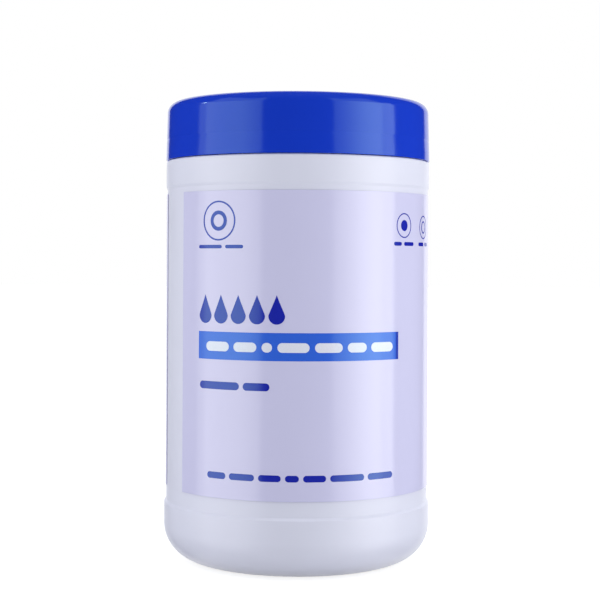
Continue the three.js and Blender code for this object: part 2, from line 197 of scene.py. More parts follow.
# The print: ends in degrees from the front, and heights above the solid label's lower edge
BANNER_START = -44.8
BANNER_END = 45.3
STRIP_END = 46.9
BANNER_HEIGHTS = (47 * MM, 56.3 * MM)
BANNER_CORNER = 0.05 * MM
DROPS = 5
DROP_START = -41
DROP_SPACING = 8.2
DROP_Z = 63.9 * MM
DROP_WIDTH = 5.6 * MM
DROP_HEIGHT = 9.7 * MM
# Lines of bars: start, end, low, high, and the bars' shares of the line
PALE_LINE = (-40.3, 43.3, 49.8 * MM, 53 * MM, (8, 7, 3, 9, 8, 6, 8))
DARK_LINES = (
    (-44, -11, 37 * MM, 39.6 * MM, (7, 4)),
    (-39.5, 43.5, 7.1 * MM, 9.3 * MM, (5, 6, 5, 3, 5, 8, 7)),
    (-45, -22.5, 84.2 * MM, 85.4 * MM, (9, 6)),
    (44, 58, 85.5 * MM, 86.8 * MM, (4, 6)),
    (63, 76, 85.5 * MM, 86.8 * MM, (5, 4)),
)
PALE_GAP = 2.2
WORD_GAP = 1.7
# Rings: place in degrees, height of the middle, radius, and width of the line
RINGS = (
    (-34.2, 93.5 * MM, 6.7 * MM, 0.55 * MM),
    (-34.2, 93.5 * MM, 3.4 * MM, 1.3 * MM),
    (50.7, 92.4 * MM, 4.25 * MM, 0.4 * MM),
    (50.7, 92.4 * MM, 1.9 * MM, 1.9 * MM),
    (69, 92.1 * MM, 4.1 * MM, 0.4 * MM),
    (69, 92.1 * MM, 2.2 * MM, 0.5 * MM),
)

# Colours, as linear values
CAN_WHITE = (0.73, 0.74, 0.88)
FILM_LILAC = (0.64, 0.63, 0.88)
CLOSURE_BLUE = (0.008, 0.042, 0.56)
LID_BLUE = (0.01, 0.05, 0.6)
BANNER_BLUE = (0.034, 0.13, 0.73)
STRIP_BLUE = (0.02, 0.05, 0.44)
PALE_INK = (0.8, 0.81, 0.93)
DARK_BLUE = (0.012, 0.018, 0.4)
FOAM_WHITE = (0.85, 0.85, 0.85)
CLOTH_WHITE = (0.88, 0.88, 0.87)
BLUE_GLOSS = (0.6, 1, 1)
GLOSS_IOR = 1.65

# The room: light from the sides, and the shares of it from the front and from behind
ROOM_TINT = (0.96, 0.98, 1)
AMBIENT = 1.37
FRONT_SHARE = 0.12
BACK_SHARE = 0.5

# The floor: what it sends back to the object, and its shaded and glowing parts for the camera
FLOOR_HALF = 6.0
FLOOR_BOUNCE = 0.7
FLOOR_SHADED = 0.4
FLOOR_GLOW = 0.8

# Lamps and cards. Azimuths run from the camera's side towards +X.
LAMP_TINT = (1, 1, 0.96)
SOFTBOX_DISTANCE = 0.45
SOFTBOX_LOW = -0.25
SOFTBOX_HIGH = 0.33
GLINT_PLACE = (-0.595, -0.019, 0.365)
GLINT_SIZE = 0.05
GLINT_POWER = 0.09
CARD_DISTANCE = 1.2
CARD_LOW = -1.0
CARD_HIGH = 2.0
CARD_GREY = 0.01
CEILING_HALF = 1.6
CEILING_GREY = 0.12

# The camera at the photo's place
CAMERA_PLACE = (0, -0.5335, 0.1058)
CAMERA_ROLL = math.radians(-0.302)
CAMERA_LENS = 88.58
CAMERA_SHIFT = (0.00443, -0.0615)


def make_object(name, vertices, faces):
    mesh = bpy.data.meshes.new(name)
    mesh.from_pydata(vertices, [], faces)
    mesh.validate()
    obj = bpy.data.objects.new(name, mesh)
    bpy.context.scene.collection.objects.link(obj)
    return obj


def finish_surface(obj, material):
    """One material, and smooth shading that keeps the sharp edges."""
    obj.data.polygons.foreach_set("use_smooth", [True] * len(obj.data.polygons))
    obj.data.set_sharp_from_angle(angle=SHARP_ANGLE)
    obj.data.materials.clear()
    obj.data.materials.append(material)


def arc(centre_r, centre_z, width, height, start, end, steps):
    """Points of an elliptical arc, angles in degrees."""
    points = []
    for i in range(steps + 1):
        angle = math.radians(start + (end - start) * i / steps)
        points.append((centre_r + width * math.cos(angle), centre_z + height * math.sin(angle)))
    return points


def filleted(corners):
    """An outline with each corner (r, z, radius) rounded, and (r, z) left as it is."""
    outline = []
    count = len(corners)
    for i, corner in enumerate(corners):
        here = complex(corner[0], corner[1])
        if len(corner) < 3 or corner[2] <= 0:
            outline.append((here.real, here.imag))
            continue
        before = complex(*corners[i - 1][:2]) - here
        after = complex(*corners[(i + 1) % count][:2]) - here
        before /= abs(before)
        after /= abs(after)
        half = math.acos(max(-1.0, min(1.0, (before * after.conjugate()).real))) / 2
        reach = corner[2] / math.tan(half)
        bisector = (before + after) / abs(before + after)
        centre = here + bisector * corner[2] / math.sin(half)
        first = here + before * reach - centre
        last = here + after * reach - centre
        turn = math.atan2((first.conjugate() * last).imag, (first.conjugate() * last).real)
        steps = max(2, math.ceil(abs(turn) / ARC_STEP))
        for s in range(steps + 1):
            angle = turn * s / steps
            point = centre + first * complex(math.cos(angle), math.sin(angle))
            outline.append((point.real, point.imag))
    return outline


def turned(name, outline, segments=TURNS_FINE):
    """A closed (r, z) outline, counter-clockwise, turned round Z."""
    vertices = []
    rings = []
    for r, z in outline:
        if r < 1e-9:
            rings.append([len(vertices)] * segments)
            vertices.append((0.0, 0.0, z))
            continue
        rings.append(list(range(len(vertices), len(vertices) + segments)))
        for i in range(segments):
            angle = 2 * math.pi * i / segments
            vertices.append((r * math.cos(angle), r * math.sin(angle), z))
    faces = []
    for low, high in zip(rings, rings[1:] + rings[:1]):
        for i in range(segments):
            j = (i + 1) % segments
            face = list(dict.fromkeys([low[i], low[j], high[j], high[i]]))
            if len(face) > 2:
                faces.append(face)
    return make_object(name, vertices, faces)


def lofted(name, sections):
    """A body through closed sections that have the same number of points."""
    count = len(sections[0])
    vertices = [point for section in sections for point in section]
    faces = []
    for s in range(len(sections) - 1):
        for i in range(count):
            a = s * count + i
            b = s * count + (i + 1) % count
            faces.append((a, a + count, b + count, b))
    last = (len(sections) - 1) * count
    faces.append(tuple(range(count)))
    faces.append(tuple(last + i for i in reversed(range(count))))
    return make_object(name, vertices, faces)


def block(name, low, high):
    xs, ys, zs = zip(low, high)
    corners = [(x, y, z) for x in xs for y in ys for z in zs]
    faces = [(0, 1, 3, 2), (4, 6, 7, 5), (0, 4, 5, 1), (2, 3, 7, 6), (0, 2, 6, 4), (1, 5, 7, 3)]
    return make_object(name, corners, faces)


def prism(name, outline, place, low, high):
    """A flat outline drawn from low to high, where place(u, v, w) gives a point."""
    sections = [[place(u, v, w) for u, v in outline] for w in (low, high)]
    return lofted(name, sections)


def along_x(u, v, w):
    return (w, u, v)


def upright(u, v, w):
    return (u, v, w)


def bar(name, radius, half_length, y, z):
    """A round bar along X."""
    angles = [2 * math.pi * i / BAR_SIDES for i in range(BAR_SIDES)]
    outline = [(y + radius * math.cos(a), z + radius * math.sin(a)) for a in angles]
    return prism(name, outline, along_x, half_length, -half_length)


def combine(target, tool, operation):
    """Joins the tool to the target or cuts it away, and deletes the tool."""
    change = target.modifiers.new(operation.lower(), "BOOLEAN")
    change.operation = operation
    change.solver = "EXACT"
    change.object = tool
    apply_modifiers(target)
    bpy.data.objects.remove(tool)


def apply_modifiers(obj):
    graph = bpy.context.evaluated_depsgraph_get()
    mesh = bpy.data.meshes.new_from_object(obj.evaluated_get(graph))
    obj.modifiers.clear()
    obj.data = mesh


def thread_ridge(name, wall, side, start_z):
    """A right-hand ridge on an outer wall (side 1) or an inner one (side -1)."""
    sweep = 2 * math.pi * THREAD_TURNS
    steps = math.ceil(sweep / THREAD_STEP)
    sections = []
    for i in range(steps + 1):
        angle = sweep * i / steps
        z = start_z + PITCH * angle / (2 * math.pi)
        height = min(1.0, angle / THREAD_FADE, (sweep - angle) / THREAD_FADE)
        crest = wall + side * (THREAD_DEPTH * height - THREAD_BURY * (1 - height) / 2)
        root = wall - side * THREAD_BURY
        outline = [
            (root, z - THREAD_ROOT / 2),
            (crest, z - THREAD_CREST / 2),
            (crest, z + THREAD_CREST / 2),
            (root, z + THREAD_ROOT / 2),
        ]
        if side < 0:
            outline.reverse()
        sections.append([(r * math.cos(angle), r * math.sin(angle), h) for r, h in outline])
    return lofted(name, sections)


def make_canister():
    foot_inner = FOOT_RADIUS - FOOT_WIDTH
    crown = foot_inner - PUSH_UP_SLOPE
    under = LEDGE_Z - CAN_WALL
    corner_inner = CORNER_WIDTH - CAN_WALL
    corner_height = CORNER_HEIGHT - BASE_WALL
    outline = [
        (0, PUSH_UP),
        (crown, PUSH_UP, CROWN_ROUND),
        (foot_inner, 0, FOOT_ROUND),
        *arc(FOOT_RADIUS, CORNER_HEIGHT, CORNER_WIDTH, CORNER_HEIGHT, -90, 0, CORNER_STEPS),
        (CAN_RADIUS, BUMPER_HEIGHT, STEP_CREST_ROUND),
        (PANEL_RADIUS, PANEL_Z, STEP_ROOT_ROUND),
        (PANEL_RADIUS, PANEL_Z + PANEL_HEIGHT, STEP_ROOT_ROUND),
        (BAND_RADIUS, BAND_Z, STEP_CREST_ROUND),
        (BAND_RADIUS, SEEN_LEDGE_Z, SEEN_SHOULDER_ROUND),
        (NECK_RADIUS, SEEN_LEDGE_Z, NECK_ROOT_ROUND),
        (NECK_RADIUS, MOUTH_Z, MOUTH_ROUND),
        (MOUTH_RADIUS, MOUTH_Z, MOUTH_ROUND),
        (MOUTH_RADIUS, under, LEDGE_INNER_ROUND),
        (BAND_RADIUS - CAN_WALL, under, SHOULDER_ROUND - CAN_WALL / 2),
        (BAND_RADIUS - CAN_WALL, BAND_Z),
        (PANEL_RADIUS - CAN_WALL, PANEL_Z + PANEL_HEIGHT),
        (PANEL_RADIUS - CAN_WALL, PANEL_Z),
        (CAN_RADIUS - CAN_WALL, BUMPER_HEIGHT),
        *arc(FOOT_RADIUS, CORNER_HEIGHT, corner_inner, corner_height, 0, -90, INNER_CORNER_STEPS),
        (foot_inner, BASE_WALL, FOOT_ROUND),
        (crown, PUSH_UP + BASE_WALL, INNER_CROWN_ROUND),
        (0, PUSH_UP + BASE_WALL),
    ]
    can = turned("can_body", filleted(outline))
    combine(can, thread_ridge("neck_thread", NECK_RADIUS, 1, THREAD_Z), "UNION")
    pinch = block(
        "pinch_seam",
        (-PINCH_LENGTH / 2, -PINCH_WIDTH / 2, PUSH_UP - PINCH_HEIGHT),
        (PINCH_LENGTH / 2, PINCH_WIDTH / 2, PUSH_UP + BASE_WALL / 2),
    )
    combine(can, pinch, "UNION")
    finish_surface(can, can_material())
    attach(can, "canister")
    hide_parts("canister")


def cylinder_point(s, z, lift):
    """A point of the label's face: s along its curve from the front, z up, lift off it."""
    angle = s / LABEL_RADIUS
    r = LABEL_RADIUS + lift
    return (r * math.sin(angle), -r * math.cos(angle), z)


def make_label():
    inner = LABEL_RADIUS - LABEL_THICKNESS
    sections = []
    for i in range(LABEL_STEPS + 1):
        angle = LABEL_START + (LABEL_END - LABEL_START) * i / LABEL_STEPS
        outline = [
            (inner, LABEL_FOOT),
            (LABEL_RADIUS, LABEL_FOOT),
            (LABEL_RADIUS, LABEL_TOP),
            (inner, LABEL_TOP),
        ]
        sections.append([(r * math.sin(angle), -r * math.cos(angle), z) for r, z in outline])
    film = lofted("label_film", sections)
    finish_surface(film, film_material())
    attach(film, "canister")
    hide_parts("label")


def ink_patch(columns):
    """Vertices and faces of a thin closed patch from columns (s, low, high)."""
    vertices = []
    faces = []
    for s, low, high in columns:
        for height, off in ((low, INK), (high, INK), (high, 0.0), (low, 0.0)):
            vertices.append(cylinder_point(s, height, off))
    for c in range(len(columns) - 1):
        a = 4 * c
        b = a + 4
        for i in range(4):
            j = (i + 1) % 4
            faces.append((a + i, b + i, b + j, a + j))
    faces.append((0, 1, 2, 3))
    last = 4 * (len(columns) - 1)
    faces.append((last + 3, last + 2, last + 1, last))
    return vertices, faces


def pill(start, end, low, high, corner=None):
    """A bar with round ends; angles of its ends in degrees, heights in metres."""
    s0 = math.radians(start) * LABEL_RADIUS
    s1 = math.radians(end) * LABEL_RADIUS
    half = (high - low) / 2
    radius = half if corner is None else corner
    ends = [radius * (1 - math.cos(math.radians(a))) for a in range(0, 91, 10)]
    middle_count = max(1, math.ceil((s1 - s0 - 2 * radius) / COLUMN))
    places = [s0 + e for e in ends]
    places += [s0 + radius + (s1 - s0 - 2 * radius) * i / middle_count for i in range(1, middle_count)]
    places += [s1 - e for e in reversed(ends)]
    columns = []
    for s in places:
        inset = max(0.0, radius - min(s - s0, s1 - s))
        drop = radius - math.sqrt(max(0.0, radius**2 - inset**2))
        drop = min(drop, half - INK_LEAST / 2)
        columns.append((s, low + drop, high - drop))
    return ink_patch(columns)


def drop_shape(angle, z, width, height):
    """A plain drop: a round foot and a pointed head."""
    s0 = math.radians(angle) * LABEL_RADIUS
    radius = width / 2
    foot = z - height / 2 + radius
    columns = []
    for i in range(DROP_STEPS + 1):
        a = math.pi * i / DROP_STEPS
        s = -radius * math.cos(a)
        across = abs(s) / radius
        low = foot - math.sqrt(max(0.0, radius**2 - s**2))
        high = foot + (height - radius) * (1 - across) ** DROP_POINT * (1 - DROP_WAIST * across)
        columns.append((s0 + s, low, max(high, low + INK_LEAST)))
    return ink_patch(columns)


def ring_shape(angle, z, radius, width):
    """A plain ring, or a disc where the width is the radius."""
    s0 = math.radians(angle) * LABEL_RADIUS
    inner = max(radius - width, DISC_HOLE)
    vertices = []
    faces = []
    for i in range(RING_SIDES):
        a = 2 * math.pi * i / RING_SIDES
        for r, off in ((radius, INK), (inner, INK), (inner, 0.0), (radius, 0.0)):
            vertices.append(cylinder_point(s0 + r * math.sin(a), z + r * math.cos(a), off))
    for i in range(RING_SIDES):
        a = 4 * i
        b = 4 * ((i + 1) % RING_SIDES)
        for k in range(4):
            m = (k + 1) % 4
            faces.append((a + k, b + k, b + m, a + m))
    return vertices, faces


def print_object(name, patches, material):
    vertices = []
    faces = []
    for patch_vertices, patch_faces in patches:
        base = len(vertices)
        vertices += patch_vertices
        faces += [tuple(base + i for i in face) for face in patch_faces]
    obj = make_object(name, vertices, faces)
    finish_surface(obj, material)
    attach(obj, "canister")


def words(start, end, low, high, shares, gap=WORD_GAP):
    """A line of plain bars that fill the angles in these shares, with even gaps."""
    room = end - start - gap * (len(shares) - 1)
    patches = []
    at = start
    for share in shares:
        width = room * share / sum(shares)
        patches.append(pill(at, at + width, low, high))
        at += width + gap
    return patches


def make_print():
    """Plain printed shapes on the film."""
    edge = LABEL_LOW.z
    low, high = BANNER_HEIGHTS
    banner = [pill(BANNER_START, BANNER_END, edge + low, edge + high, BANNER_CORNER)]
    print_object("print_banner", banner, ink_material("ink_banner", BANNER_BLUE))
    strip = [pill(BANNER_END, STRIP_END, edge + low, edge + high, BANNER_CORNER)]
    print_object("print_strip", strip, ink_material("ink_strip", STRIP_BLUE))
    start, end, low, high, shares = PALE_LINE
    bars = words(start, end, edge + low, edge + high, shares, PALE_GAP)
    bars = [(raised(points), faces) for points, faces in bars]
    print_object("print_bars", bars, ink_material("ink_pale", PALE_INK))
    dark = [
        drop_shape(DROP_START + DROP_SPACING * i, edge + DROP_Z, DROP_WIDTH, DROP_HEIGHT)
        for i in range(DROPS)
    ]
    for start, end, low, high, shares in DARK_LINES:
        dark += words(start, end, edge + low, edge + high, shares)
    for angle, z, radius, width in RINGS:
        dark.append(ring_shape(angle, edge + z, radius, width))
    print_object("print_dark", dark, ink_material("ink_dark", DARK_BLUE))


def raised(points):
    """Points moved out by one layer of ink."""
    moved = []
    for x, y, z in points:
        grow = 1 + INK / math.hypot(x, y)
        moved.append((x * grow, y * grow, z))
    return moved


def recess_chord(half_width):
    return math.sqrt(RECESS_RADIUS**2 - half_width**2) - OVER


def deck_outline():
    top_radius = SEEN_CAP_RADIUS - SKIRT_DRAFT
    fillet_z = DECK_Z - TOP_FILLET
    slope = SKIRT_DRAFT / (fillet_z - CAP_LOW.z)
    sink = [
        (SEEN_CAP_RADIUS - slope * (SINK_LINE_Z + dz - CAP_LOW.z) - depth, SINK_LINE_Z + dz)
        for dz, depth in (
            (-SINK_HALF_WIDTH, 0.0),
            (-SINK_HALF_WIDTH / 2, SINK_DEPTH / 2),
            (0.0, SINK_DEPTH),
            (SINK_HALF_WIDTH / 2, SINK_DEPTH / 2),
            (SINK_HALF_WIDTH, 0.0),
        )
    ]
    return filleted(
        [
            (0, DISH_Z),
            (RECESS_RADIUS + DECK_WALL, DISH_Z, INNER_ROUND),
            (RECESS_RADIUS + DECK_WALL, DECK_Z - DECK_WALL, DECK_ROOT_ROUND),
            (SKIRT_INNER, DECK_Z - DECK_WALL, INNER_ROUND),
            (SKIRT_INNER, CAP_LOW.z, SKIRT_INNER_EDGE),
            (SEEN_CAP_RADIUS, CAP_LOW.z, SKIRT_OUTER_EDGE),
            *sink,
            *arc(top_radius - TOP_FILLET, fillet_z, TOP_FILLET, TOP_FILLET, 0, 90, CAP_EDGE_STEPS),
            (0, DECK_Z),
        ]
    )


def scoop_outline(grow, top):
    back = -recess_chord(SCOOP_WIDTH / 2)
    front = -RECESS_RADIUS - SCOOP_REACH - grow
    return [(back, SCOOP_Z - grow), (back, top), (front, top), (front + SCOOP_SLOPE, SCOOP_Z - grow)]


def make_closure():
    collar_inner = COLLAR_RADIUS - COLLAR_WALL
    cap = turned("closure_cap", deck_outline())
    pocket = BARREL_LENGTH / 2 + HINGE_END
    cheek = pocket + HINGE_CHEEK
    housing = block(
        "hinge_housing",
        (-cheek, recess_chord(cheek), DISH_Z),
        (cheek, HINGE_Y + HINGE_ROOM + DECK_WALL, DECK_Z - DECK_WALL / 2),
    )
    half = (SCOOP_WIDTH + DECK_WALL) / 2
    under = prism(
        "scoop_housing", scoop_outline(DECK_WALL / 2, DECK_Z - DECK_WALL / 2), along_x, half, -half
    )
    ridge = thread_ridge("closure_thread", SKIRT_INNER, -1, THREAD_Z - PITCH / 2)
    for tool in (housing, under, ridge):
        combine(cap, tool, "UNION")
    recess = turned(
        "recess",
        filleted(
            [
                (0, RECESS_Z),
                (RECESS_RADIUS, RECESS_Z, RECESS_FLOOR_ROUND),
                (RECESS_RADIUS, DECK_Z - RECESS_CHAMFER, RECESS_RIM_ROUND),
                (RECESS_RADIUS + RECESS_CHAMFER + OVER, DECK_Z + OVER),
                (0, DECK_Z + OVER),
            ]
        ),
    )
    relief = turned(
        "petal_relief",
        [
            (0, DISH_Z - OVER),
            (collar_inner, DISH_Z - OVER),
            (collar_inner, RECESS_Z - MEMBRANE_WALL),
            (0, RECESS_Z - MEMBRANE_WALL),
        ],
    )
    hinge_gap = block(
        "hinge_pocket",
        (-pocket, recess_chord(pocket), RECESS_Z),
        (pocket, HINGE_Y + HINGE_ROOM, DECK_Z + OVER),
    )
    scoop = prism("scoop", scoop_outline(0, DECK_Z + OVER), along_x, SCOOP_WIDTH / 2, -SCOOP_WIDTH / 2)
    bore_half = BARREL_LENGTH / 2 + PIN_LENGTH + HINGE_END
    bore = bar("pin_bore", PIN_RADIUS + PIN_CLEARANCE, bore_half, HINGE_Y, HINGE_Z)
    for tool in (recess, hinge_gap, scoop, bore, relief):
        combine(cap, tool, "DIFFERENCE")
    collar = turned(
        "collar",
        filleted(
            [
                (collar_inner, RECESS_Z - MEMBRANE_WALL),
                (COLLAR_RADIUS, RECESS_Z - MEMBRANE_WALL),
                (COLLAR_RADIUS, RECESS_Z + COLLAR_HEIGHT, COLLAR_ROUND),
                (collar_inner, RECESS_Z + COLLAR_HEIGHT, COLLAR_ROUND),
            ]
        ),
        COLLAR_SIDES,
    )
    combine(cap, collar, "UNION")
    for i in range(SLITS):
        angle = 2 * math.pi * (i + 0.5) / SLITS
        across = (-math.sin(angle) * SLIT_WIDTH / 2, math.cos(angle) * SLIT_WIDTH / 2)
        tip = (math.cos(angle) * SLIT_REACH, math.sin(angle) * SLIT_REACH)
        outline = [
            (across[0], across[1]),
            (-across[0], -across[1]),
            (tip[0] - across[0], tip[1] - across[1]),
            (tip[0] + across[0], tip[1] + across[1]),
        ]
        slit = prism("slit", outline, upright, RECESS_Z + OVER, DISH_Z - OVER)
        combine(cap, slit, "DIFFERENCE")
    hole_outline = [(0, DISH_Z - OVER), (ORIFICE_RADIUS, DISH_Z - OVER)]
    hole_outline += [(ORIFICE_RADIUS, RECESS_Z + OVER / 2), (0, RECESS_Z + OVER / 2)]
    combine(cap, turned("orifice", hole_outline, ORIFICE_SIDES), "DIFFERENCE")
    finish_surface(cap, blue_material("closure_plastic", CLOSURE_BLUE))
    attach(cap, "closure")
    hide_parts("closure")


def lip_outline():
    front = LID_LOW.y
    back = -LID_RADIUS + LID_RIM_WALL
    half = LIP_WIDTH / 2
    left = arc(-half + LIP_CORNER, front + LIP_CORNER, LIP_CORNER, LIP_CORNER, 180, 270, LIP_STEPS)
    right = arc(half - LIP_CORNER, front + LIP_CORNER, LIP_CORNER, LIP_CORNER, 270, 360, LIP_STEPS)
    return [(-half, back), *left, *right, (half, back)]


def make_lid():
    plug_inner = COLLAR_RADIUS + PLUG_CLEARANCE
    plug_outer = plug_inner + PLUG_WALL
    rim_inner = LID_RADIUS - LID_RIM_WALL
    outline = [
        (0, LID_UNDER),
        (plug_inner, LID_UNDER),
        (plug_inner, LID_RIM_Z, LID_ROUND),
        (plug_outer, LID_RIM_Z, LID_ROUND),
        (plug_outer, LID_UNDER, LID_ROUND),
        (rim_inner, LID_UNDER, LID_ROUND),
        (rim_inner, LID_RIM_Z, LID_ROUND),
        (LID_RADIUS, LID_RIM_Z, LID_ROUND),
        (LID_RADIUS, LID_TOP, LID_TOP_ROUND),
        (0, LID_TOP),
    ]
    lid = turned("lid_plate", filleted(outline))
    half = BARREL_LENGTH / 2
    arm = block("lid_arm", (-half, rim_inner - LID_RIM_WALL, LID_UNDER), (half, HINGE_Y, LID_TOP))
    lip = prism("lid_lip", lip_outline(), upright, LID_TOP, LID_UNDER)
    barrel = bar("lid_barrel", BARREL_RADIUS, half, HINGE_Y, HINGE_Z)
    pins = bar("lid_pins", PIN_RADIUS, half + PIN_LENGTH, HINGE_Y, HINGE_Z)
    for tool in (arm, lip, barrel, pins):
        combine(lid, tool, "UNION")
    finish_surface(lid, blue_material("lid_plastic", LID_BLUE))
    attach(lid, "flip_lid")
    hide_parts("flip_lid")


def new_material(name, colour, roughness):
    material = bpy.data.materials.new(name)
    material.use_nodes = True
    shader = material.node_tree.nodes["Principled BSDF"]
    shader.inputs["Base Color"].default_value = (*colour, 1)
    shader.inputs["Roughness"].default_value = roughness
    return material, shader


def add_noise(material, scale, detail=3.0):
    """Noise over the piece's own coordinates."""
    tree = material.node_tree
    place = tree.nodes.new("ShaderNodeTexCoord")
    noise = tree.nodes.new("ShaderNodeTexNoise")
    noise.inputs["Scale"].default_value = scale
    noise.inputs["Detail"].default_value = detail
    tree.links.new(place.outputs["Object"], noise.inputs["Vector"])
    return noise


def add_bump(material, shader, noise, strength, distance):
    tree = material.node_tree
    bump = tree.nodes.new("ShaderNodeBump")
    bump.inputs["Strength"].default_value = strength
    bump.inputs["Distance"].default_value = distance
    tree.links.new(noise.outputs["Fac"], bump.inputs["Height"])
    tree.links.new(bump.outputs["Normal"], shader.inputs["Normal"])


def vary_colour(material, shader, noise, colour, less, more=None):
    """The noise moves the colour between these shares below and above it."""
    dark = shade(colour, 1 - less)
    light = shade(colour, 1 + (less if more is None else more))
    tree = material.node_tree
    mix = tree.nodes.new("ShaderNodeMix")
    mix.data_type = "RGBA"
    mix.inputs["A"].default_value = (*dark, 1)
    mix.inputs["B"].default_value = (*light, 1)
    tree.links.new(noise.outputs["Fac"], mix.inputs["Factor"])
    tree.links.new(mix.outputs["Result"], shader.inputs["Base Color"])


def vary_roughness(material, shader, noise, low, high):
    tree = material.node_tree
    span = tree.nodes.new("ShaderNodeMapRange")
    span.inputs["To Min"].default_value = low
    span.inputs["To Max"].default_value = high
    tree.links.new(noise.outputs["Fac"], span.inputs["Value"])
    tree.links.new(span.outputs["Result"], shader.inputs["Roughness"])


def shade(colour, factor):
    return tuple(channel * factor for channel in colour)


def can_material():
    """Blown polyethylene: milky white with a soft gloss and a faint orange peel."""
    material, shader = new_material("blown_polyethylene", CAN_WHITE, 0.3)
    broad = add_noise(material, 60)
    vary_colour(material, shader, broad, CAN_WHITE, 0.02)
    vary_roughness(material, shader, broad, 0.26, 0.36)
    add_bump(material, shader, add_noise(material, 900), 0.12, 0.04 * MM)
    return material


def film_material():
    """Printed film with a clear gloss over a lilac ground."""
    material, shader = new_material("lilac_film", FILM_LILAC, 0.16)
    shader.inputs["IOR"].default_value = GLOSS_IOR
    broad = add_noise(material, 35)
    vary_colour(material, shader, broad, FILM_LILAC, 0.015)
    vary_roughness(material, shader, broad, 0.12, 0.2)
    add_bump(material, shader, add_noise(material, 500), 0.05, 0.03 * MM)
    return material


def ink_material(name, colour):
    """Ink under the same clear gloss, with a fine print grain."""
    material, shader = new_material(name, colour, 0.16)
    shader.inputs["IOR"].default_value = GLOSS_IOR
    shader.inputs["Specular Tint"].default_value = (*BLUE_GLOSS, 1)
    grain = add_noise(material, 2500)
    vary_colour(material, shader, grain, colour, 0.07)
    vary_roughness(material, shader, add_noise(material, 35), 0.12, 0.2)
    return material


def blue_material(name, blue):
    """Glossy moulded polypropylene with faint flow variation."""
    material, shader = new_material(name, blue, 0.12)
    shader.inputs["Specular Tint"].default_value = (*BLUE_GLOSS, 1)
    broad = add_noise(material, 45)
    vary_colour(material, shader, broad, blue, 0.04)
    vary_roughness(material, shader, broad, 0.09, 0.15)
    add_bump(material, shader, add_noise(material, 400), 0.05, 0.03 * MM)
    return material


def foam_material():
    material, shader = new_material("seal_foam", FOAM_WHITE, 0.8)
    cells = add_noise(material, 1800)
    vary_colour(material, shader, cells, FOAM_WHITE, 0.1, 0.05)
    add_bump(material, shader, cells, 0.5, 0.1 * MM)
    return material


def cloth_material():
    material, shader = new_material("moist_nonwoven", CLOTH_WHITE, 0.75)
    fibres = add_noise(material, 1500, 6.0)
    vary_colour(material, shader, fibres, CLOTH_WHITE, 0.1, 0.04)
    add_bump(material, shader, fibres, 0.6, 0.15 * MM)
    return material


def dress_inner_pieces():
    for node, material in (("sealing_ring", foam_material()), ("wipes_roll", cloth_material())):
        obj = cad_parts[node]
        for slot in obj.material_slots:
            slot.material = material


def light_path_mix(tree, first, second, target):
    """Second shader for camera, glossy and transmission rays, the first for the others."""
    path = tree.nodes.new("ShaderNodeLightPath")
    seen = path.outputs["Is Camera Ray"]
    for name in ("Is Glossy Ray", "Is Transmission Ray"):
        either = tree.nodes.new("ShaderNodeMath")
        either.operation = "MAXIMUM"
        tree.links.new(seen, either.inputs[0])
        tree.links.new(path.outputs[name], either.inputs[1])
        seen = either.outputs[0]
    mix = tree.nodes.new("ShaderNodeMixShader")
    tree.links.new(seen, mix.inputs["Fac"])
    tree.links.new(first, mix.inputs[1])
    tree.links.new(second, mix.inputs[2])
    tree.links.new(mix.outputs[0], target)


def make_world():
    """Plain light, strongest from the sides, with a white background."""
    world = bpy.data.worlds.new("studio")
    bpy.context.scene.world = world
    world.use_nodes = True
    tree = world.node_tree
    tree.nodes.clear()
    ambient = tree.nodes.new("ShaderNodeBackground")
    ambient.inputs["Strength"].default_value = AMBIENT
    place = tree.nodes.new("ShaderNodeTexCoord")
    split = tree.nodes.new("ShaderNodeSeparateXYZ")
    span = tree.nodes.new("ShaderNodeMapRange")
    span.inputs["From Min"].default_value = -1
    shares = tree.nodes.new("ShaderNodeValToRGB")
    stops = shares.color_ramp.elements
    stops[0].color = (*shade(ROOM_TINT, FRONT_SHARE), 1)
    stops[1].color = (*shade(ROOM_TINT, BACK_SHARE), 1)
    stops.new(0.5).color = (*ROOM_TINT, 1)
    tree.links.new(place.outputs["Generated"], split.inputs[0])
    tree.links.new(split.outputs["Y"], span.inputs["Value"])
    tree.links.new(span.outputs["Result"], shares.inputs["Fac"])
    tree.links.new(shares.outputs["Color"], ambient.inputs["Color"])
    white = tree.nodes.new("ShaderNodeBackground")
    white.inputs["Color"].default_value = (1, 1, 1, 1)
    output = tree.nodes.new("ShaderNodeOutputWorld")
    light_path_mix(tree, ambient.outputs[0], white.outputs[0], output.inputs["Surface"])


